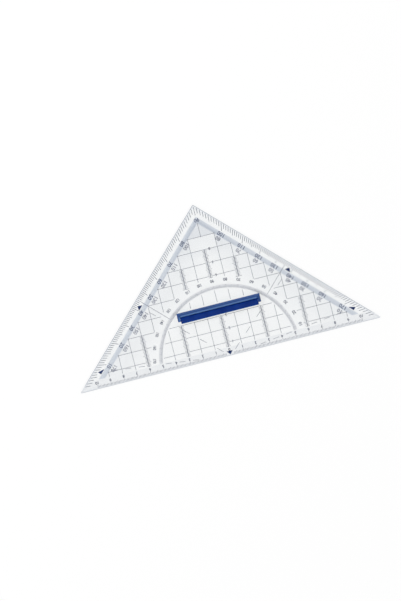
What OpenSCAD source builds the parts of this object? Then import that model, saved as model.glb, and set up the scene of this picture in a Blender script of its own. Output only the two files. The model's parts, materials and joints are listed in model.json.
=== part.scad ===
// A clear 45 degree set square with printed scales and a plug-in handle. The handle's grip leaf
// lies folded down between two ears and swings up on a hinge pin.
// Millimetres. The origin is the zero mark on the hypotenuse, at the underside of the plate.
// +X runs along the hypotenuse, +Y towards the right-angled corner and +Z up from the paper.

/* [Plate] */
// Length of the hypotenuse
hyp_len = 228; // [200:1:300]
// Thickness of the plate
plate_t = 2.2; // [1.8:0.1:3.5]
// Radius that rounds the three corners
corner_r = 0.6; // [0.3:0.1:2]
// Width of the reading bevel along the hypotenuse
bevel_w = 6.4; // [4:0.1:9]
// Height of the guide edge at the foot of the bevel
edge_t = 1; // [0.7:0.1:1.5]
// Chamfer along the top of both legs
leg_chamfer = 0.45; // [0.1:0.05:0.6]
// Chamfer along the top of the guide edge
edge_chamfer = 0.25; // [0.1:0.05:0.4]
// Width of the rim that rests on the paper
rim_w = 0.6; // [0.4:0.1:1]
// Depth of the recess that keeps the print off the paper
recess = 0.15; // [0.13:0.01:0.3]

/* [Grid] */
// Thickness of one coat of ink
ink_t = 0.05; // [0.02:0.01:0.055]
// Hair gap that keeps a coat of ink apart from what is above it
ink_gap = 0.005; // [0.002:0.001:0.01]
// Width of a grid line
line_w = 0.22; // [0.15:0.01:0.4]
// How far a grid line runs past its last crossing
line_past = 0.5; // [0.2:0.1:0.8]
// Width of a grid line where it carries millimetre ticks
ruler_w = 0.34; // [0.3:0.01:0.6]
// Width of a millimetre tick
tick_w = 0.22; // [0.08:0.01:0.25]
// Distance from the hypotenuse at which the grid starts
grid_start = 6.6; // [6:0.1:9]
// Half length of a millimetre tick across a grid line
cross_tick = 1.6; // [1:0.1:2]
// Half length of a five millimetre tick across a grid line
cross_five = 2.3; // [2:0.1:3]
// Bare strip that the grid leaves round the handle
handle_clear = 1; // [0.3:0.1:3]
// Length of the bare label place on the middle line, below the top cell
label_gap = 9; // [5:0.5:10]

/* [Hypotenuse scale] */
// Distance of the hypotenuse ticks from the edge
edge_inset = 0.8; // [0.7:0.1:1.5]
// Reach of a millimetre tick from the edge
mm_tick = 2.3; // [1.7:0.1:2.4]
// Reach of a five millimetre tick from the edge
mm_five = 2.7; // [2.4:0.1:3]
// Reach of a centimetre tick from the edge
mm_ten = 3.2; // [3:0.1:3.4]

/* [Leg scales] */
// First and last degree of the leg scales, counted from the hypotenuse
first_degree = 2; // [2:1:8]
// Width of a degree tick
degree_w = 0.28; // [0.15:0.01:0.4]
// Reach of a one degree tick from the leg
degree_tick = 3.6; // [2:0.1:4]
// Reach of a five degree tick from the leg
degree_five = 4.4; // [4:0.1:5]
// Reach of a ten degree tick from the leg
degree_ten = 5.6; // [5:0.1:6.2]
// Distance of the tinted number band from the leg
band_depth = 6.4; // [6.2:0.1:7.5]
// Width of the tinted number band
band_w = 3.4; // [2.5:0.1:4]
// Angle of the two steep pointer marks
steep_mark = 42; // [38:1:44]
// Angle of the two flat pointer marks
flat_mark = 7; // [6:1:8]
// Height of a pointer mark
pointer_h = 2.8; // [1.5:0.1:2.9]
// Width of a pointer mark on the legs
pointer_w = 4.6; // [2:0.1:4.8]
// Distance of a pointer mark's foot from the number band
pointer_gap = 0.4; // [0.2:0.1:0.6]
// Width of the pointer at the zero mark
zero_w = 4.6; // [2.5:0.1:4.8]

/* [Protractor] */
// Inner radius of the tinted protractor band
arc_r = 50; // [42:0.5:56]
// Width of the protractor band
arc_w = 2.5; // [1.5:0.1:4]
// Bare strip inside the protractor band
arc_inside = 1; // [0.5:0.1:2]
// Ring of bare plate outside the band, for the numbers
arc_numbers = 6; // [5:0.1:7]
// Reach of a one degree tick across the protractor band
arc_tick = 1.4; // [1:0.1:1.5]
// Reach of a five degree tick across the protractor band
arc_five = 2; // [1.5:0.1:2.4]
// Width of a protractor tick
arc_tick_w = 0.1; // [0.08:0.01:0.2]

/* [Dashed rays] */
// Distance of the first dash on a flat ray from the zero mark
flat_first = 23.5; // [22:0.5:28]
// Pitch of the dashes on a flat ray
flat_pitch = 10; // [7:0.5:14]
// Length of a dash on a flat ray
flat_dash = 4.5; // [2:0.5:6]
// Distance of the first dash on a steep ray from the zero mark
steep_first = 6; // [6:0.5:10]
// Pitch of the dashes on a steep ray
steep_pitch = 14; // [8:0.5:18]
// Length of a dash on a steep ray
steep_dash = 5.5; // [2:0.5:7]

/* [Handle] */
// Length of the handle over its ears
handle_len = 62.6; // [44:0.2:80]
// Distance of the handle's far edge from the hypotenuse
handle_far = 39.3; // [30:0.5:60]
// Depth of the rail from its far edge to its front wall
rail_depth = 3.25; // [2.9:0.05:5]
// Height of the rail's crest above the plate
rail_h = 3.2; // [2.8:0.1:4]
// Width of the crest along the rail and the ears
crest_w = 0.9; // [0.5:0.05:1]
// Chamfer along the crest's inner edge
crest_chamfer = 0.2; // [0.1:0.05:0.3]
// Radius that rounds the outer edges of the rail and ears
edge_round = 0.25; // [0.1:0.05:0.4]
// Radius that rounds the upright corners of the ears and of the leaf
corner_round = 0.3; // [0.2:0.1:0.7]
// Height of the rail's far edge
foot_h = 0.8; // [0.4:0.1:1.4]
// Width of an ear
ear_w = 1.95; // [1.5:0.05:4]
// Depth of the ears in front of the rail
ear_reach = 3.1; // [2.5:0.1:4]
// Width of the grip leaf, from its barrel to its tip
leaf_w = 4.75; // [4:0.05:9]
// Radius of the leaf's hinge barrel
barrel_r = 1.15; // [1.05:0.05:1.3]
// Radius of the leaf's tip
tip_r = 0.65; // [0.4:0.05:0.8]

/* [Hinge and studs] */
// Radius of the hinge pin
pin_r = 0.5; // [0.4:0.05:0.6]
// Radial play between the pin and the leaf
pin_play = 0.05; // [0.02:0.01:0.08]
// Radial play between the pin and the ears
pin_fit = 0.01; // [0.01:0.005:0.03]
// Height of an ear's upright end above the pin
pin_lip = 0.15; // [0.1:0.05:0.3]
// Wall that closes the blind end of the pin bore
blind_wall = 0.6; // [0.4:0.1:1]
// Gap between the barrel and the rail's front wall
barrel_gap = 0.15; // [0.1:0.05:0.3]
// Gap between the folded leaf and the plate
leaf_lift = 0.45; // [0.45:0.05:0.6]
// Thickness of the floor that joins the ears under the barrel
floor_h = 0.3; // [0.2:0.05:0.3]
// Gap between the leaf's ends and the ears
leaf_end_gap = 0.15; // [0.1:0.05:0.5]
// Distance of a plug stud from the middle of the handle
stud_x = 22; // [8:0.5:24]
// Radius of a plug stud
stud_r = 1.3; // [0.8:0.1:1.4]
// Radial play of a stud in its hole
stud_play = 0.05; // [0.02:0.01:0.1]
// Distance of a stud's tip from the paper
stud_short = 0.35; // [0.2:0.05:0.8]
// Chamfer on a stud's tip
stud_chamfer = 0.3; // [0.1:0.05:0.5]

/* [Hidden] */
$fn = 64;
arc_facets = 180;
cm = 10;
mm = cm / 10;
past = 1;
clear_plastic = [0.86, 0.92, 0.95, 0.35];
black_ink = [0.13, 0.14, 0.17];
blue_ink = [0.08, 0.13, 0.36];
grey_tint = [0.72, 0.73, 0.75];
blue_tint = [0.68, 0.75, 0.87];
blue_plastic = [0.07, 0.16, 0.45];
steel = [0.75, 0.76, 0.78];

// The legs lie on |x| + y = half, so a line d inside them lies on |x| + y = half - d * root2
half = hyp_len / 2;
root2 = sqrt(2);
band_inner = band_depth + band_w;
pointer_tip = band_depth - pointer_gap - pointer_h;
grid_reach = cm * floor((half - band_inner * root2) / cm);
grid_count = grid_reach / cm;
arc_inner_limit = arc_r - arc_inside;
arc_outer_limit = arc_r + arc_w + arc_numbers;

// Columns of the grid that carry millimetre ticks, and the rows at which those ticks end
tick_columns = [-6 * cm, -3 * cm, 0, 3 * cm, 6 * cm];
tick_columns_top = 3 * cm;
side_columns = [-2 * cm, 2 * cm];
side_columns_top = 7 * cm;

// Two coats of ink hang from the roof of the recess: the dark lines first, the tints below them
dark_z = recess - ink_gap - ink_t;
tint_z = dark_z - ink_gap - ink_t;

// The handle's section, in Y and in height above the plate
rail_front = handle_far - rail_depth;
ear_near = rail_front - ear_reach;
axis_y = rail_front - barrel_gap - barrel_r;
axis_h = leaf_lift + barrel_r;
leaf_tip = axis_y + barrel_r - leaf_w;
barrel_at = [axis_y, axis_h];
tip_at = [leaf_tip + tip_r, leaf_lift + tip_r];
crest_far = rail_front + crest_w;
crest_round = min(edge_round, 0.6 * crest_w);
ear_end_h = axis_h + pin_r + pin_lip;
ear_crest = handle_len / 2 - ear_w + crest_w;
pocket_len = handle_len - 2 * ear_w;
leaf_len = pocket_len - 2 * leaf_end_gap;
stud_y = handle_far - rail_depth / 2;
handle_low = leaf_tip - handle_clear;
handle_high = handle_far + handle_clear;
handle_side = handle_len / 2 + handle_clear;

// Distance from the zero mark at which the ray at this angle is d inside the leg
function ray_reach(angle, d) = (half - d * root2) / (abs(cos(angle)) + sin(angle));
// Half chord of a circle at this distance from its centre, or 0 outside it
function half_chord(r, d) = sqrt(max(r * r - d * d, 0));
// Reach of a tick on a scale with longer fives and tens
function tick_reach(i, one, five, ten) = i % 10 == 0 ? ten : i % 5 == 0 ? five : one;
// Reach of a degree tick: at 45 degrees it crosses the band, and at a pointer it ends short of its tip
function degree_reach(a) =
    a == 45 ? band_inner
    : a == steep_mark || a == flat_mark ? pointer_tip - pointer_gap
    : tick_reach(a, degree_tick, degree_five, degree_ten);
// Direction of the normal of a tangent common to two circles, on one side or the other
function tangent_normal(c1, r1, c2, r2, side) =
    atan2(c2[1] - c1[1], c2[0] - c1[0]) + side * acos((r1 - r2) / norm(c2 - c1));
function on_circle(c, r, angle) = c + r * [cos(angle), sin(angle)];
function unit(v) = v / norm(v);
// The arc that rounds the corner at a point, between its neighbours before and after
function corner_arc(before, at, after, r, steps = 6) =
    let (
        back = unit(before - at),
        on = unit(after - at),
        half_angle = acos(back * on) / 2,
        centre = at + unit(back + on) * r / sin(half_angle),
        start = at + back * r / tan(half_angle) - centre,
        end = at + on * r / tan(half_angle) - centre
    )
    [for (i = [0:steps]) centre + r * unit(start * (steps - i) + end * i)];
// An outline from corners given as [x, y, radius], with a radius of 0 for a sharp one
function rounded(corners) =
    let (n = len(corners), at = [for (c = corners) [c[0], c[1]]])
    [for (i = [0:n - 1])
        let (r = corners[i][2], before = at[(i + n - 1) % n], after = at[(i + 1) % n])
        each r == 0 ? [at[i]] : corner_arc(before, at[i], after, r)];

// A prism along X, centred on the handle, from an outline in Y and height above the plate
module along_handle(len) {
    translate([-len / 2, 0, plate_t]) rotate([90, 0, 90]) linear_extrude(len) children();
}

// A prism along Y, between two distances from the hypotenuse, from an outline in X and height
module across_handle(near, far) {
    translate([0, far, plate_t]) rotate([90, 0, 0]) linear_extrude(far - near) children();
}

module coat(z) {
    translate([0, 0, z]) linear_extrude(ink_t) children();
}

module both_sides() {
    children();
    mirror([1, 0]) children();
}

// A straight bar on the ray at this angle, between two distances from the zero mark
module ray_bar(angle, from, to, w) {
    rotate(angle) translate([from, -w / 2]) square([to - from, w]);
}

module upright_bar(x, from, to, w) {
    if (to > from) translate([x - w / 2, from]) square([w, to - from]);
}

module level_bar(y, from, to, w) {
    if (to > from) translate([from, y - w / 2]) square([to - from, w]);
}

// Plate

// The triangle with its sides moved in by d
module triangle_outline(d) {
    reach = half - d * (1 + root2);
    polygon([[-reach, d], [reach, d], [0, half - d * root2]]);
}

// The triangle with round corners, as an outline through the tangent points and three circles
module round_triangle() {
    centre_x = half - corner_r * (1 + root2);
    leg_step = corner_r / root2;
    apex_y = half - corner_r * root2;
    polygon([
        [-centre_x, 0], [centre_x, 0],
        [centre_x + leg_step, corner_r + leg_step], [leg_step, apex_y + leg_step],
        [-leg_step, apex_y + leg_step], [-centre_x - leg_step, corner_r + leg_step]
    ]);
    for (at = [[-centre_x, corner_r], [centre_x, corner_r], [0, apex_y]]) translate(at) circle(corner_r);
}

// What the reading bevel and the chamfer at its foot take off the hypotenuse
module bevel_cut() {
    rise = (plate_t - edge_t) / bevel_w;
    chamfer_end = edge_chamfer / (1 - rise);
    translate([-half - past, 0, 0]) rotate([90, 0, 90]) linear_extrude(hyp_len + 2 * past)
        polygon([
            [-past, edge_t - edge_chamfer - past], [chamfer_end, edge_t + rise * chamfer_end],
            [bevel_w + past, plate_t + rise * past], [-past, plate_t + rise * past]
        ]);
}

// What the chamfer takes off the top of the right leg, in a frame with X along the leg and Y inwards
module leg_cut() {
    c = leg_chamfer + past;
    translate([half, 0, 0]) rotate(135) translate([-half, 0, plate_t]) rotate([90, 0, 90])
        linear_extrude(3 * half) polygon([[-past, past], [-past, -c], [c, past]]);
}

module set_square_plate() color(clear_plastic) difference() {
    linear_extrude(plate_t) round_triangle();
    bevel_cut();
    leg_cut();
    mirror([1, 0, 0]) leg_cut();
    translate([0, 0, -past]) linear_extrude(recess + past) triangle_outline(rim_w);
    both_sides() translate([stud_x, stud_y, -past])
        cylinder(h = plate_t + 2 * past, r = stud_r + stud_play);
}

// Print

// Where a grid line ends: past its last crossing, but on it where the 45 degree line carries on
function line_end(reach) = 2 * reach == grid_reach ? reach : reach + line_past;

// One upright grid line, broken at the protractor, at the handle and at the label place
module grid_upright(x) {
    top = grid_reach - abs(x);
    inner_top = min(half_chord(arc_inner_limit, x), top);
    outer_start = max(half_chord(arc_outer_limit, x), grid_start);
    behind_handle = abs(x) < handle_side;
    upright_bar(x, grid_start, behind_handle ? min(inner_top, handle_low) : inner_top, line_w);
    if (behind_handle) upright_bar(x, handle_high, inner_top, line_w);
    if (x == 0) {
        upright_bar(x, outer_start, top - 2 * cm, line_w);
        upright_bar(x, top - 1.5 * cm + label_gap / 2, top, line_w);
    } else {
        upright_bar(x, outer_start, line_end(top), line_w);
    }
}

// One level grid line, broken at the protractor and left out behind the handle
module grid_level(y) {
    inner_end = min(half_chord(arc_inner_limit, y), grid_reach - y);
    outer_start = half_chord(arc_outer_limit, y);
    if (y < handle_low || y > handle_high) level_bar(y, -inner_end, inner_end, line_w);
    if (outer_start > 0) {
        both_sides() level_bar(y, outer_start, line_end(grid_reach - y), line_w);
    } else {
        level_bar(y, -line_end(grid_reach - y), line_end(grid_reach - y), line_w);
    }
}

// A heavier stretch of an upright grid line, with millimetre ticks across it
module cross_ticks(x, from, to) {
    upright_bar(x, from, to, ruler_w);
    for (i = [ceil(from / mm):floor(to / mm)])
        if (i % 10 != 0) {
            reach = i % 5 == 0 ? cross_five : cross_tick;
            level_bar(i * mm, x - reach, x + reach, tick_w);
        }
}

// Dashes along the ray at this angle, left out over the protractor
module dashed_ray(angle, first, pitch, dash) {
    last = ray_reach(angle, band_inner) - dash;
    for (r = [first:pitch:last])
        if (r + dash < arc_inner_limit || r > arc_outer_limit) ray_bar(angle, r, r + dash, line_w);
}

module grid_lines() color(black_ink) coat(dark_z) {
    for (i = [-grid_count + 1:grid_count - 1]) grid_upright(i * cm);
    for (i = [1:grid_count - 1]) grid_level(i * cm);
    for (x = tick_columns) cross_ticks(x, grid_start, tick_columns_top);
    for (x = side_columns) cross_ticks(x, half_chord(arc_outer_limit, x), side_columns_top);
    cross_ticks(0, arc_outer_limit, grid_reach - 2 * cm);
    both_sides() {
        dashed_ray(flat_mark, flat_first, flat_pitch, flat_dash);
        dashed_ray(steep_mark, steep_first, steep_pitch, steep_dash);
        ray_bar(45, arc_r + arc_w, ray_reach(45, band_inner), line_w);
    }
}

module millimetre_ticks() color(black_ink) coat(dark_z) {
    both_sides() for (i = [ceil(zero_w / 2 / mm):grid_reach / mm])
        upright_bar(i * mm, edge_inset, tick_reach(i, mm_tick, mm_five, mm_ten), tick_w);
}

module degree_ticks() color(black_ink) coat(dark_z) {
    both_sides() for (a = [first_degree:89])
        ray_bar(a, ray_reach(a, degree_reach(a)), ray_reach(a, edge_inset), a == 45 ? line_w : degree_w);
    ray_bar(90, ray_reach(90, degree_ten), ray_reach(90, edge_inset * root2), degree_w);
}

module protractor_ticks() color(black_ink) coat(dark_z) {
    lowest = ceil(asin(grid_start / arc_r));
    for (a = [lowest:180 - lowest])
        ray_bar(a, arc_r, arc_r + tick_reach(a, arc_tick, arc_five, arc_w), arc_tick_w);
}

module protractor_band() color(grey_tint) coat(tint_z) difference() {
    circle(arc_r + arc_w, $fn = arc_facets);
    circle(arc_r, $fn = arc_facets);
    translate([-half, grid_start - half]) square([hyp_len, half]);
}

// Both number bands, which meet below the right-angled corner and end level with the grid
module leg_bands() color(blue_tint) coat(tint_z) {
    polygon([for (d = [band_depth * root2, band_inner * root2], end = [-1, 0, 1])
        [end * (half - d - grid_start), end == 0 ? half - d : grid_start]],
        [[0, 1, 2, 5, 4, 3]]);
}

// A pointer just outside the number band of the right leg, with its tip on the ray at this angle
module pointer(angle) {
    ray = [cos(angle), sin(angle)];
    foot = ray * ray_reach(angle, band_depth - pointer_gap);
    side = [1, -1] / root2 * pointer_w / 2;
    polygon([foot + side, ray * ray_reach(angle, pointer_tip), foot - side]);
}

module pointer_marks() color(blue_ink) coat(dark_z) {
    both_sides() {
        pointer(steep_mark);
        pointer(flat_mark);
    }
    translate([0, edge_inset]) polygon([[0, 0], [zero_w / 2, pointer_h], [-zero_w / 2, pointer_h]]);
}

// Handle

// The frame's section across the handle: a level top and a long slope to the far edge
module cross_section() {
    polygon(rounded([
        [ear_near, 0, 0], [handle_far, 0, 0], [handle_far, foot_h, edge_round],
        [crest_far, rail_h, crest_round], [ear_near, rail_h, edge_round]
    ]));
}

// The frame's section along the handle: a level top and a slope to each end
module long_section() {
    end = handle_len / 2;
    polygon(rounded([
        [-end, 0, 0], [end, 0, 0], [end, ear_end_h, edge_round], [ear_crest, rail_h, crest_round],
        [-ear_crest, rail_h, crest_round], [-end, ear_end_h, edge_round]
    ]));
}

// What the leaf's pocket takes out of the frame, down to its floor, with a chamfer round the top
module pocket() {
    side = pocket_len / 2;
    lip = rail_h - crest_chamfer;
    flare = crest_chamfer + past;
    top = rail_h + past;
    intersection() {
        along_handle(handle_len) polygon([
            [ear_near - past, floor_h], [rail_front, floor_h], [rail_front, lip], [rail_front + flare, top],
            [ear_near - past, top]
        ]);
        across_handle(ear_near - past, rail_front + flare) polygon([
            [-side, floor_h], [side, floor_h], [side, lip], [side + flare, top], [-side - flare, top],
            [-side, lip]
        ]);
    }
}

// Seen from above, a rectangle with round corners on its near side and, if asked, on its far side
module plan_outline(len, near, far, far_round) {
    polygon(rounded([
        [-len / 2, near, corner_round], [len / 2, near, corner_round], [len / 2, far, far_round],
        [-len / 2, far, far_round]
    ]));
}

module stud() {
    tip = stud_short;
    translate([0, 0, tip + stud_chamfer]) cylinder(h = plate_t - tip - stud_chamfer, r = stud_r);
    translate([0, 0, tip]) cylinder(h = stud_chamfer, r1 = stud_r - stud_chamfer, r2 = stud_r);
}

// The rail and its two ears, moulded as one frame round the leaf's pocket, with two plug studs below and
// a pin bore that is blind on the left
module handle_rail() color(blue_plastic) difference() {
    union() {
        intersection() {
            along_handle(handle_len) cross_section();
            across_handle(ear_near, handle_far) long_section();
            linear_extrude(plate_t + rail_h + past)
                plan_outline(handle_len, ear_near, handle_far, corner_round);
        }
        for (side = [-1, 1]) translate([side * stud_x, stud_y, 0]) stud();
    }
    pocket();
    translate([blind_wall - handle_len / 2, axis_y, plate_t + axis_h]) rotate([0, 90, 0])
        cylinder(h = handle_len + past, r = pin_r + pin_fit);
}

module hinge_pin() color(steel) {
    translate([blind_wall - handle_len / 2, axis_y, plate_t + axis_h]) rotate([0, 90, 0])
        cylinder(h = handle_len - blind_wall, r = pin_r);
}

// The leaf's section: a barrel and a round tip joined by their common tangents
module leaf_section() {
    upper = tangent_normal(barrel_at, barrel_r, tip_at, tip_r, -1);
    lower = tangent_normal(barrel_at, barrel_r, tip_at, tip_r, 1);
    translate(barrel_at) circle(barrel_r);
    translate(tip_at) circle(tip_r);
    polygon([
        on_circle(barrel_at, barrel_r, upper), on_circle(tip_at, tip_r, upper),
        on_circle(tip_at, tip_r, lower), on_circle(barrel_at, barrel_r, lower)
    ]);
}

module grip_leaf() color(blue_plastic) difference() {
    intersection() {
        along_handle(leaf_len) leaf_section();
        linear_extrude(plate_t + rail_h + past) plan_outline(leaf_len, leaf_tip, rail_front, 0);
    }
    along_handle(leaf_len + 2 * past) translate(barrel_at) circle(pin_r + pin_play);
}

set_square_plate();
grid_lines();
millimetre_ticks();
degree_ticks();
protractor_ticks();
protractor_band();
leg_bands();
pointer_marks();
handle_rail();
hinge_pin();
grip_leaf();
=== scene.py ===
"""The looks of a clear set square with printed scales and a folding blue handle.

Everything is in metres, in the frame of the solids: the zero mark on the hypotenuse is the origin,
+X runs along the hypotenuse, +Y towards the right-angled corner and +Z up from the paper.
"""
import json
import math

import bmesh
import bpy
from mathutils import Matrix, Vector


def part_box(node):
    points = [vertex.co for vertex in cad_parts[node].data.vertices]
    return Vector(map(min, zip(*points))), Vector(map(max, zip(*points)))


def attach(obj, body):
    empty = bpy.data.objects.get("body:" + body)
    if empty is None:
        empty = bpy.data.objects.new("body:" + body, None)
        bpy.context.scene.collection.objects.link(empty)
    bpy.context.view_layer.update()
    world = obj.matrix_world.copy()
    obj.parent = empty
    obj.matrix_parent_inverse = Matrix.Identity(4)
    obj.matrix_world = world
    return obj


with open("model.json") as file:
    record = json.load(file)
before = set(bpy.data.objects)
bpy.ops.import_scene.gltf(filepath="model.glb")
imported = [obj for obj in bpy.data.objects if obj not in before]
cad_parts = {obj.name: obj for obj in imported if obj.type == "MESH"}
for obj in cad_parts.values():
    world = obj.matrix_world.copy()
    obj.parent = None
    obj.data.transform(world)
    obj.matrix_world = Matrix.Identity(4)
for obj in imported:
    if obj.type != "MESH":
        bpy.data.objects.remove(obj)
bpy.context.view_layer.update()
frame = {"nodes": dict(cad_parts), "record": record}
nodes = frame["nodes"]
scene = bpy.context.scene

MM = 0.001
CM = 10 * MM
ROOT2 = math.sqrt(2)

# Half the hypotenuse, as x + y is the same all along the right leg
mounts = {mount["name"]: mount for mount in frame["record"]["mounts"]}
right_leg = mounts["right_leg"]["pos_m"]
HALF = right_leg[0] + right_leg[1]

# How deep inside the legs the number bands begin, from the height of their tip
BAND_DEPTH = (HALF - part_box("leg_bands")[1].y) / ROOT2

# More sizes read from the frame
INK_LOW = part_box("grid_lines")[0].z
INK_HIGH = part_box("grid_lines")[1].z
ARC_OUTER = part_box("protractor_band")[1].y
PLATE_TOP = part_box("set_square_plate")[1].z
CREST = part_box("handle_rail")[1].z
INK_MIDDLE = (INK_LOW + INK_HIGH) / 2
INK_HALF = (INK_HIGH - INK_LOW) / 2

# Sizes of the numbers, and where they stand
BAND_WIDTH = 3.4 * MM
EDGE_NUMBER_Y = 4.7 * MM
EDGE_NUMBER_HEIGHT = 2 * MM
COLUMN_NUMBER_X = 4 * MM
COLUMN_NUMBER_HEIGHT = 2 * MM
ARC_NUMBER_RADIUS = ARC_OUTER + 3.7 * MM
ARC_NUMBER_HEIGHT = 2.1 * MM
LEG_NUMBER_DEPTH = 1.45 * MM
LEG_NUMBER_HEIGHT = 2.8 * MM
INNER_NUMBER_DEPTH = 5.3 * MM
INNER_NUMBER_HEIGHT = 2.6 * MM
RIGHT_NUMBER_STEP = 0.5 * MM
POINTER_STEPS = {40: 1.6 * MM, 140: 0.5 * MM}

# How much bolder the numbers are than the font, and how it is drawn
EDGE_WEIGHT = 0.06 * MM
ARC_WEIGHT = 0.045 * MM
LEG_WEIGHT = 0.005 * MM
OUTLINE_RADIUS = 0.092 * MM
DIGIT_SHARE = 0.69
LONG_ARC_NUMBER = 0.78
CURVE_STEPS = 4
OUTLINE_STEPS = 1
WELD = 0.001 * MM

# Where painted shade darkens the plate's colour and where its underside starts, each from its start to its
# end, and how much painted shade it brings
RIM_FADE = (3 * MM, 0.4 * MM)
BEVEL_FADE = (6.7 * MM, 6.1 * MM)
BEVEL_SHADE = 0.42
SIDE_FADE = (34 * MM, 14 * MM)
SIDE_SHADE = 0.39
CORNER_FADE = (72 * MM, 90 * MM)
CORNER_SHADE = 0.61
UNDERSIDE_FADE = (0.4 * MM, 0.2 * MM)

# The bare label place, which gets less painted shade and so is lighter than the plate around it
LABEL_MIDDLE = 85 * MM
LABEL_ACROSS_FADE = (9.9 * MM, 10.1 * MM)
LABEL_UP_FADE = (4.9 * MM, 5.1 * MM)
LABEL_SHADE = 0.35

# Faces by the upright part of their normal: milled slopes, and the sides that stand upright
MILLED_FADE = (0.95, 0.8)
UPRIGHT_FADE = (0.4, 0.15)

# Colours of the clear plastic; the rim colour and the shade colour are painted shade
CLEAR = (0.951, 0.958, 0.961)
CLEAR_RIM_PAINTED_SHADE = (0.898, 0.915, 0.934)
CLEAR_SHADE = (0.811, 0.829, 0.854)
# Dark colour of the milled slopes: painted shade along the plate's edges
SLOPE_PAINTED_SHADE = (0.25, 0.29, 0.34)
SIDE_CUT = (0.8, 0.85, 0.9)
PASSING_CLEAR = (0.975, 0.98, 0.985)
PASSING_MILLED = (0.7, 0.73, 0.77)
DEPTH_TINT = (0.62, 0.82, 0.93)
DEPTH_DENSITY = 9
ACRYLIC_IOR = 1.49
SIDE_TRANSMISSION = 0.35
MILLED_ROUGHNESS = 0.3
TOUCHING_GAMMA = 0.5

# Where a painted highlight lightens the blue plastic, where it is spared, and where the leaf's tip is
CREST_FADE = (CREST - 0.3 * MM, CREST - 0.08 * MM)
END_FADE = (28.4 * MM, 29 * MM)
LEFT_CORNER_FADE = (36.1 * MM, 36.5 * MM)
SPARED_HIGHLIGHT = 0.1
FAR_EDGE_FADE = (37.2 * MM, 38.8 * MM)
FAR_EDGE_HIGHLIGHT = 0.3
TIP_FADE = (31.9 * MM, 31.1 * MM)
HIGHLIGHT_BLUE = (0.095, 0.2, 0.46)
TIP_HIGHLIGHT_BLUE = (0.003, 0.11, 0.42)

# The floor's own grey, how brightly it is seen, and its size
FLOOR_GREY = (0.28, 0.28, 0.28)
FLOOR_GLOW = 0.74
FLOOR_HALF = 4.0
FLOOR_DROP = 0.02 * MM

# The room's light by the height of the direction, from the horizon at 0 to straight up at 1
ROOM_LEVELS = [(0, 0.8), (0.1, 0.8), (0.2, 0.27), (0.45, 0.32), (0.6, 1), (0.78, 1), (0.9, 0.06), (1, 0.03)]
ROOM_STRENGTH = 1.3

# The key lamp: what it shines on, and its direction as right, up and towards the viewer
KEY_TARGET = Vector((0, 0.04, 0))
KEY_TOWARDS = (-0.55, 0.25, 0.78)
KEY_DISTANCE = 2.5
KEY_SIZE = 1.6
KEY_POWER = 20

# The photograph's frame, in its own pixels, and the scale that the printed centimetres give it
FRAME_WIDTH = 401
FRAME_HEIGHT = 601
PIXELS_PER_METRE = 1364.5
ZERO_PIXEL = (230.85, 355.45)
PLATE_ROLL = math.radians(14.26)
LENS = 120
SENSOR = 36
CLIP_START = 0.01


# Shader nodes

def new_material(name):
    """A material with an empty node tree, that tree and its output node."""
    material = bpy.data.materials.new(name)
    material.use_nodes = True
    tree = material.node_tree
    tree.nodes.clear()
    output = tree.nodes.new("ShaderNodeOutputMaterial")
    return material, tree, output


def principled(tree, output):
    """A principled shader, set as the material's surface."""
    shader = tree.nodes.new("ShaderNodeBsdfPrincipled")
    tree.links.new(shader.outputs["BSDF"], output.inputs["Surface"])
    return shader


def split(tree, kind):
    """The X, Y and Z of the object's own coordinates of a kind."""
    where = tree.nodes.new("ShaderNodeTexCoord")
    node = tree.nodes.new("ShaderNodeSeparateXYZ")
    tree.links.new(where.outputs[kind], node.inputs["Vector"])
    return node.outputs["X"], node.outputs["Y"], node.outputs["Z"]


def noise(tree, scale, detail, roughness, stretch=(1, 1, 1)):
    """A noise texture in object space, with its scale per metre."""
    where = tree.nodes.new("ShaderNodeTexCoord")
    mapping = tree.nodes.new("ShaderNodeMapping")
    mapping.inputs["Scale"].default_value = stretch
    texture = tree.nodes.new("ShaderNodeTexNoise")
    texture.inputs["Scale"].default_value = scale
    texture.inputs["Detail"].default_value = detail
    texture.inputs["Roughness"].default_value = roughness
    tree.links.new(where.outputs["Object"], mapping.inputs["Vector"])
    tree.links.new(mapping.outputs["Vector"], texture.inputs["Vector"])
    return texture.outputs["Fac"]


def ramp(tree, value, stops):
    """A colour ramp over a value, from (position, colour) stops."""
    node = tree.nodes.new("ShaderNodeValToRGB")
    elements = node.color_ramp.elements
    while len(elements) < len(stops):
        elements.new(0.5)
    for element, (position, colour) in zip(elements, stops):
        element.position = position
        element.color = (*colour, 1)
    tree.links.new(value, node.inputs["Fac"])
    return node.outputs["Color"]


def spread(tree, value, low, high):
    """A value from 0 to 1 spread over a range."""
    node = tree.nodes.new("ShaderNodeMapRange")
    node.inputs["To Min"].default_value = low
    node.inputs["To Max"].default_value = high
    tree.links.new(value, node.inputs["Value"])
    return node.outputs["Result"]


def ease(tree, value, start, end):
    """A value eased from 0 at start to 1 at end."""
    node = tree.nodes.new("ShaderNodeMapRange")
    node.interpolation_type = "SMOOTHSTEP"
    node.inputs["From Min"].default_value = start
    node.inputs["From Max"].default_value = end
    tree.links.new(value, node.inputs["Value"])
    return node.outputs["Result"]


def math_node(tree, operation, first, second=0.0):
    """A math node on two inputs, each a socket or a number."""
    node = tree.nodes.new("ShaderNodeMath")
    node.operation = operation
    for socket, value in zip(node.inputs, (first, second)):
        if isinstance(value, bpy.types.NodeSocket):
            tree.links.new(value, socket)
        else:
            socket.default_value = value
    return node.outputs["Value"]


def mix_colours(tree, share, first, second):
    """A mix of two colours, each a socket or a plain colour."""
    node = tree.nodes.new("ShaderNodeMix")
    node.data_type = "RGBA"
    tree.links.new(share, node.inputs["Factor"])
    # The sockets for colours come after those for numbers and vectors
    for socket, colour in zip(node.inputs[6:8], (first, second)):
        if isinstance(colour, bpy.types.NodeSocket):
            tree.links.new(colour, socket)
        else:
            socket.default_value = (*colour, 1)
    return node.outputs[2]


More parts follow.
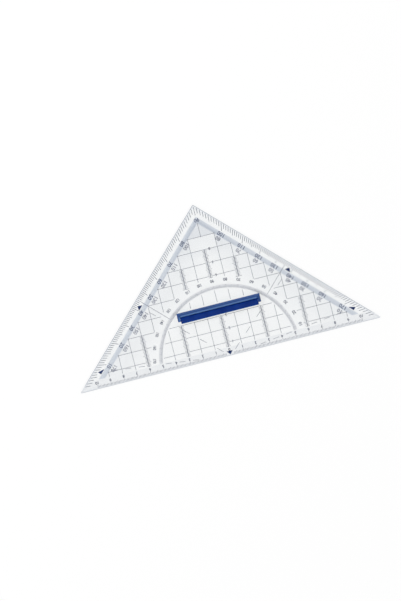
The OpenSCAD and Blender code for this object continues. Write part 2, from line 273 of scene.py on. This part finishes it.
def mix_shaders(tree, share, first, second):
    """A mix of two shaders."""
    node = tree.nodes.new("ShaderNodeMixShader")
    tree.links.new(share, node.inputs["Fac"])
    tree.links.new(first, node.inputs[1])
    tree.links.new(second, node.inputs[2])
    return node.outputs["Shader"]


def see_through(tree, colour):
    """A shader that passes light straight on, tinted by a colour."""
    node = tree.nodes.new("ShaderNodeBsdfTransparent")
    tree.links.new(colour, node.inputs["Color"])
    return node.outputs["BSDF"]


def bump(tree, height, strength, distance):
    """A normal that follows a height."""
    node = tree.nodes.new("ShaderNodeBump")
    node.inputs["Strength"].default_value = strength
    node.inputs["Distance"].default_value = distance
    tree.links.new(height, node.inputs["Height"])
    return node.outputs["Normal"]


# Materials

def plate_tint(tree, x, y):
    """The clear plastic's colour over the plate with painted shade: darker at the rim, the bevel, the sides
    and the corner, and less so on the label place.
    """
    from_middle = math_node(tree, "ABSOLUTE", x)
    along = math_node(tree, "ADD", from_middle, y)
    leg_depth = math_node(tree, "DIVIDE", math_node(tree, "SUBTRACT", HALF, along), ROOT2)
    # Painted shade: darker near the legs and the hypotenuse, on the bevel, towards the sides and the corner
    rim = ease(tree, math_node(tree, "MINIMUM", leg_depth, y), *RIM_FADE)
    bevel = math_node(tree, "MULTIPLY", ease(tree, y, *BEVEL_FADE), BEVEL_SHADE)
    sides = math_node(tree, "MULTIPLY", ease(tree, leg_depth, *SIDE_FADE), SIDE_SHADE)
    corner = math_node(tree, "MULTIPLY", ease(tree, y, *CORNER_FADE), CORNER_SHADE)
    from_label = math_node(tree, "ABSOLUTE", math_node(tree, "SUBTRACT", y, LABEL_MIDDLE))
    outside_label = math_node(tree, "MAXIMUM", ease(tree, from_middle, *LABEL_ACROSS_FADE),
                              ease(tree, from_label, *LABEL_UP_FADE))
    inside_band = ease(tree, leg_depth, BAND_DEPTH, BAND_DEPTH + BAND_WIDTH)
    shade = math_node(tree, "MULTIPLY", math_node(tree, "ADD", sides, corner), inside_band)
    shade = math_node(tree, "MULTIPLY", shade, spread(tree, outside_label, LABEL_SHADE, 1))
    shade = math_node(tree, "MAXIMUM", shade, bevel)
    return mix_colours(tree, shade, mix_colours(tree, rim, CLEAR, CLEAR_RIM_PAINTED_SHADE), CLEAR_SHADE)


def clear_acrylic():
    """Polished clear plastic with faint scratches and milled edges, painted shade on its rim, bevel, sides
    and corner, and a dark painted shade on its milled slopes.

    Shadows and scattered light pass the plate straight on. So does all light at the underside, as where
    print and paper touch it, and the scales stay readable from low down.
    """
    material, tree, output = new_material("clear_acrylic")
    shader = principled(tree, output)
    x, y, z = split(tree, "Object")
    # body is the plastic's colour with painted shade on the rim, bevel, sides and corner
    body = plate_tint(tree, x, y)
    upward = math_node(tree, "ABSOLUTE", split(tree, "Normal")[2])
    milled = ease(tree, upward, *MILLED_FADE)
    upright_side = ease(tree, upward, *UPRIGHT_FADE)
    # Milled slopes get a dark painted shade; upright sides get their own pale colour
    cut_colour_and_painted_shade = mix_colours(tree, upright_side, SLOPE_PAINTED_SHADE, SIDE_CUT)
    tree.links.new(mix_colours(tree, milled, body, cut_colour_and_painted_shade), shader.inputs["Base Color"])
    tree.links.new(spread(tree, upright_side, 1, SIDE_TRANSMISSION), shader.inputs["Transmission Weight"])
    shader.inputs["IOR"].default_value = ACRYLIC_IOR
    scratches = noise(tree, scale=900, detail=3, roughness=0.6, stretch=(1, 0.06, 1))
    polish = spread(tree, scratches, low=0.015, high=0.05)
    roughness = math_node(tree, "MAXIMUM", polish, math_node(tree, "MULTIPLY", milled, MILLED_ROUGHNESS))
    tree.links.new(roughness, shader.inputs["Roughness"])
    tree.links.new(bump(tree, scratches, strength=0.03, distance=0.02 * MM), shader.inputs["Normal"])
    path = tree.nodes.new("ShaderNodeLightPath")
    plain = math_node(tree, "MAXIMUM", path.outputs["Is Shadow Ray"], path.outputs["Is Diffuse Ray"])
    passing = see_through(tree, mix_colours(tree, milled, PASSING_CLEAR, PASSING_MILLED))
    surface = mix_shaders(tree, plain, shader.outputs["BSDF"], passing)
    # The underside passes light tinted by the square root of body, its painted shade included
    thinned = tree.nodes.new("ShaderNodeGamma")
    thinned.inputs["Gamma"].default_value = TOUCHING_GAMMA
    tree.links.new(body, thinned.inputs["Color"])
    touching = see_through(tree, thinned.outputs["Color"])
    low = ease(tree, z, *UNDERSIDE_FADE)
    underside = math_node(tree, "MULTIPLY", low, spread(tree, upright_side, 1, 0))
    surface = mix_shaders(tree, underside, surface, touching)
    tree.links.new(surface, output.inputs["Surface"])
    depth = tree.nodes.new("ShaderNodeVolumeAbsorption")
    depth.inputs["Color"].default_value = (*DEPTH_TINT, 1)
    depth.inputs["Density"].default_value = DEPTH_DENSITY
    tree.links.new(depth.outputs["Volume"], output.inputs["Volume"])
    return material


def ink(name, thin, thick):
    """Screen-printed ink whose coat is a little uneven."""
    material, tree, output = new_material(name)
    shader = principled(tree, output)
    coat = noise(tree, scale=1400, detail=5, roughness=0.65)
    tree.links.new(ramp(tree, coat, [(0.3, thick), (0.7, thin)]), shader.inputs["Base Color"])
    tree.links.new(spread(tree, coat, low=0.45, high=0.65), shader.inputs["Roughness"])
    tree.links.new(bump(tree, coat, strength=0.15, distance=0.01 * MM), shader.inputs["Normal"])
    return material


def blue_plastic(name, deep, pale, gloss):
    """Moulded dark blue plastic with a fine satin grain, with a painted highlight along the crest and
    painted light towards the far edge.

    The right end and the far left corner get less of it, and the leaf's tip has a painted highlight in a
    brighter blue.
    """
    material, tree, output = new_material(name)
    shader = principled(tree, output)
    x, y, z = split(tree, "Object")
    tone = ramp(tree, noise(tree, scale=120, detail=3, roughness=0.5), [(0.3, deep), (0.7, pale)])
    right_end = ease(tree, x, *END_FADE)
    left_end = ease(tree, x, -END_FADE[0], -END_FADE[1])
    left_corner = math_node(tree, "MULTIPLY", left_end, ease(tree, y, *LEFT_CORNER_FADE))
    spared = math_node(tree, "MAXIMUM", right_end, left_corner)
    # Painted highlight along the crest, less on the right end and far left corner, and painted light
    # towards the far edge
    crest = math_node(tree, "MULTIPLY", ease(tree, z, *CREST_FADE), spread(tree, spared, 1, SPARED_HIGHLIGHT))
    far_edge = math_node(tree, "MULTIPLY", ease(tree, y, *FAR_EDGE_FADE), FAR_EDGE_HIGHLIGHT)
    patchy = spread(tree, noise(tree, scale=700, detail=4, roughness=0.6), low=0.65, high=1.1)
    painted_highlight = math_node(tree, "MULTIPLY", math_node(tree, "MAXIMUM", crest, far_edge), patchy)
    body = mix_colours(tree, painted_highlight, tone, HIGHLIGHT_BLUE)
    # Painted highlight: the leaf's tip in a brighter blue
    body = mix_colours(tree, ease(tree, y, *TIP_FADE), body, TIP_HIGHLIGHT_BLUE)
    tree.links.new(body, shader.inputs["Base Color"])
    grain = noise(tree, scale=5200, detail=3, roughness=0.6)
    tree.links.new(spread(tree, grain, low=0.2, high=0.28), shader.inputs["Roughness"])
    shader.inputs["Specular IOR Level"].default_value = gloss
    tree.links.new(bump(tree, grain, strength=0.12, distance=0.02 * MM), shader.inputs["Normal"])
    return material


def drawn_steel(dark, bright):
    """Steel wire with fine lines along its length."""
    material, tree, output = new_material("drawn_steel")
    shader = principled(tree, output)
    lines = noise(tree, scale=2500, detail=4, roughness=0.6, stretch=(0.04, 1, 1))
    tree.links.new(ramp(tree, lines, [(0.3, dark), (0.7, bright)]), shader.inputs["Base Color"])
    shader.inputs["Metallic"].default_value = 1
    tree.links.new(spread(tree, lines, low=0.22, high=0.4), shader.inputs["Roughness"])
    tree.links.new(bump(tree, lines, strength=0.2, distance=0.01 * MM), shader.inputs["Normal"])
    return material


BLACK_INK = ink("black_ink", thin=(0.022, 0.048, 0.13), thick=(0.012, 0.028, 0.085))
BLUE_INK = ink("blue_ink", thin=(0.006, 0.035, 0.16), thick=(0.004, 0.022, 0.11))
GREY_TINT = ink("grey_tint", thin=(0.89, 0.89, 0.91), thick=(0.84, 0.84, 0.865))
BLUE_TINT = ink("blue_tint", thin=(0.82, 0.85, 0.905), thick=(0.76, 0.795, 0.855))
# The leaf's blue is a darker copy of the frame's blue: painted shade on the leaf
FRAME_PLASTIC = blue_plastic("frame_plastic", (0.015, 0.053, 0.197), (0.025, 0.073, 0.263), gloss=0.2)
LEAF_PLASTIC = blue_plastic("leaf_plastic", (0.001, 0.021, 0.17), (0.005, 0.038, 0.254), gloss=0.09)
NODE_MATERIALS = {
    "set_square_plate": clear_acrylic(),
    "grid_lines": BLACK_INK,
    "millimetre_ticks": BLACK_INK,
    "degree_ticks": BLACK_INK,
    "protractor_ticks": BLACK_INK,
    "protractor_band": GREY_TINT,
    "leg_bands": BLUE_TINT,
    "pointer_marks": BLUE_INK,
    "handle_rail": FRAME_PLASTIC,
    "grip_leaf": LEAF_PLASTIC,
    "hinge_pin": drawn_steel(dark=(0.42, 0.43, 0.45), bright=(0.66, 0.67, 0.69)),
}
for name, material in NODE_MATERIALS.items():
    nodes[name].data.materials.clear()
    nodes[name].data.materials.append(material)


# Numbers

def number_mesh(text, height, weight, outlined, long_width):
    """A flat number as a mesh, centred on the origin, solid or as an outline.

    A number of three digits is narrowed to a share of its own width.
    """
    curve = bpy.data.curves.new("number", "FONT")
    curve.body = text
    curve.size = height / DIGIT_SHARE
    curve.align_x = "CENTER"
    curve.align_y = "CENTER"
    curve.resolution_u = CURVE_STEPS
    if outlined:
        curve.fill_mode = "NONE"
        curve.bevel_depth = OUTLINE_RADIUS
        curve.bevel_resolution = OUTLINE_STEPS
    else:
        curve.offset = weight
        curve.extrude = INK_HALF
    piece = bpy.data.objects.new("number", curve)
    scene.collection.objects.link(piece)
    mesh = bpy.data.meshes.new_from_object(piece.evaluated_get(bpy.context.evaluated_depsgraph_get()))
    bpy.data.objects.remove(piece)
    bpy.data.curves.remove(curve)
    if outlined:
        mesh.transform(Matrix.Diagonal((1, 1, INK_HALF / OUTLINE_RADIUS, 1)))
    if len(text) == 3:
        mesh.transform(Matrix.Diagonal((long_width, 1, 1, 1)))
    return mesh


def print_numbers(name, numbers, height, material, weight=0.0, outlined=False, long_width=1.0):
    """One piece that holds all numbers of a scale, given as (text, x, y, turn)."""
    joined = bmesh.new()
    for text, x, y, turn in numbers:
        mesh = number_mesh(text, height, weight, outlined, long_width)
        mesh.transform(Matrix.Translation((x, y, INK_MIDDLE)) @ Matrix.Rotation(turn, 4, "Z"))
        joined.from_mesh(mesh)
        bpy.data.meshes.remove(mesh)
    bmesh.ops.remove_doubles(joined, verts=joined.verts, dist=WELD)
    mesh = bpy.data.meshes.new(name)
    joined.to_mesh(mesh)
    joined.free()
    mesh.materials.append(material)
    piece = bpy.data.objects.new(name, mesh)
    scene.collection.objects.link(piece)
    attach(piece, "set_square")


def on_ray(degrees, depth):
    """The point of the ray at an angle from the zero mark that lies this deep inside the leg."""
    angle = math.radians(degrees)
    reach = (HALF - depth * ROOT2) / (abs(math.cos(angle)) + math.sin(angle))
    return reach * math.cos(angle), reach * math.sin(angle)


def from_band(degrees, depth, aside):
    """A point by its depth under the band's outer edge, moved aside towards the leg's tip."""
    x, y = on_ray(degrees, BAND_DEPTH)
    return x - math.copysign((depth - aside) / ROOT2, x), y - (depth + aside) / ROOT2


def leg_turn(degrees):
    """The turn of a number that stands on a leg and is read from outside it."""
    return math.radians(135 if degrees < 90 else 225)


EDGE_CENTIMETRES = range(-10, 11)
COLUMN_CENTIMETRES = (1, 2, 3, 6, 7, 8)
RIGHT_TENS = range(10, 90, 10)
LEFT_TENS = range(100, 180, 10)
edge_numbers = [(str(abs(k)), k * CM, EDGE_NUMBER_Y, math.pi) for k in EDGE_CENTIMETRES]
column_numbers = [(str(k), COLUMN_NUMBER_X, k * CM, math.pi) for k in COLUMN_CENTIMETRES]
arc_numbers = []
for degrees in (*RIGHT_TENS, 90, *LEFT_TENS):
    angle = math.radians(degrees)
    x = ARC_NUMBER_RADIUS * math.cos(angle)
    y = ARC_NUMBER_RADIUS * math.sin(angle)
    arc_numbers.append((str(degrees), x, y, angle + math.pi / 2))
leg_numbers = [("90", *on_ray(90, BAND_DEPTH + BAND_WIDTH / 2), math.pi)]
inner_numbers = []
for tens, band_step in ((RIGHT_TENS, RIGHT_NUMBER_STEP), (LEFT_TENS, 0)):
    for degrees in tens:
        past_pointer = POINTER_STEPS.get(degrees, 0)
        x, y = from_band(degrees, LEG_NUMBER_DEPTH, past_pointer + band_step)
        leg_numbers.append((str(180 - degrees), x, y, leg_turn(degrees)))
        x, y = from_band(degrees, INNER_NUMBER_DEPTH, past_pointer)
        inner_numbers.append((str(degrees), x, y, leg_turn(degrees)))
print_numbers("edge_numbers", edge_numbers, EDGE_NUMBER_HEIGHT, BLACK_INK, EDGE_WEIGHT)
print_numbers("column_numbers", column_numbers, COLUMN_NUMBER_HEIGHT, BLACK_INK)
print_numbers("arc_numbers", arc_numbers, ARC_NUMBER_HEIGHT, BLACK_INK, ARC_WEIGHT,
              long_width=LONG_ARC_NUMBER)
print_numbers("leg_numbers", leg_numbers, LEG_NUMBER_HEIGHT, BLUE_INK, LEG_WEIGHT)
print_numbers("inner_numbers", inner_numbers, INNER_NUMBER_HEIGHT, BLUE_INK, outlined=True)


# Floor, light and camera

def white_floor():
    """A pale floor that keeps its shadows and is seen white."""
    material, tree, output = new_material("white_floor")
    diffuse = tree.nodes.new("ShaderNodeBsdfDiffuse")
    diffuse.inputs["Color"].default_value = (*FLOOR_GREY, 1)
    path = tree.nodes.new("ShaderNodeLightPath")
    seen = path.outputs["Is Camera Ray"]
    for ray in ("Is Glossy Ray", "Is Transmission Ray"):
        seen = math_node(tree, "MAXIMUM", seen, path.outputs[ray])
    glow = tree.nodes.new("ShaderNodeEmission")
    tree.links.new(math_node(tree, "MULTIPLY", seen, FLOOR_GLOW), glow.inputs["Strength"])
    both = tree.nodes.new("ShaderNodeAddShader")
    tree.links.new(diffuse.outputs["BSDF"], both.inputs[0])
    tree.links.new(glow.outputs["Emission"], both.inputs[1])
    tree.links.new(both.outputs["Shader"], output.inputs["Surface"])
    return material


def studio_world():
    """A room with a ring of soft light high up, a pale horizon and a dark top, where the camera hangs."""
    world = bpy.data.worlds.new("studio")
    world.use_nodes = True
    tree = world.node_tree
    background = tree.nodes["Background"]
    height = split(tree, "Generated")[2]
    stops = [(position, (level, level, level)) for position, level in ROOM_LEVELS]
    tree.links.new(ramp(tree, height, stops), background.inputs["Color"])
    background.inputs["Strength"].default_value = ROOM_STRENGTH
    return world


floor_signs = ((-1, -1), (1, -1), (1, 1), (-1, 1))
floor_corners = [(x * FLOOR_HALF, y * FLOOR_HALF, -FLOOR_DROP) for x, y in floor_signs]
floor_mesh = bpy.data.meshes.new("floor")
floor_mesh.from_pydata(floor_corners, [], [(0, 1, 2, 3)])
floor_mesh.materials.append(white_floor())
floor = bpy.data.objects.new("floor", floor_mesh)
scene.collection.objects.link(floor)
scene.world = studio_world()

# The picture's right and up, on the plate
right = Vector((math.cos(PLATE_ROLL), -math.sin(PLATE_ROLL), 0))
up = Vector((math.sin(PLATE_ROLL), math.cos(PLATE_ROLL), 0))

lamp = bpy.data.lights.new("key", "AREA")
lamp.size = KEY_SIZE
lamp.energy = KEY_POWER
key = bpy.data.objects.new("key", lamp)
direction = right * KEY_TOWARDS[0] + up * KEY_TOWARDS[1] + Vector((0, 0, KEY_TOWARDS[2]))
direction.normalize()
key.location = KEY_TARGET + direction * KEY_DISTANCE
key.rotation_mode = "QUATERNION"
key.rotation_quaternion = direction.to_track_quat("Z", "Y")
scene.collection.objects.link(key)

aside = FRAME_WIDTH / 2 - ZERO_PIXEL[0]
below = FRAME_HEIGHT / 2 - ZERO_PIXEL[1]
aim = (right * aside - up * below) / PIXELS_PER_METRE
aim.z = PLATE_TOP
camera = bpy.data.objects.new("camera", bpy.data.cameras.new("camera"))
camera.data.lens = LENS
camera.data.sensor_width = SENSOR
camera.data.clip_start = CLIP_START
camera.location = aim + Vector((0, 0, FRAME_HEIGHT / PIXELS_PER_METRE * LENS / SENSOR))
camera.rotation_euler = (0, 0, -PLATE_ROLL)
scene.collection.objects.link(camera)
scene.camera = camera
scene.view_settings.view_transform = "Standard"
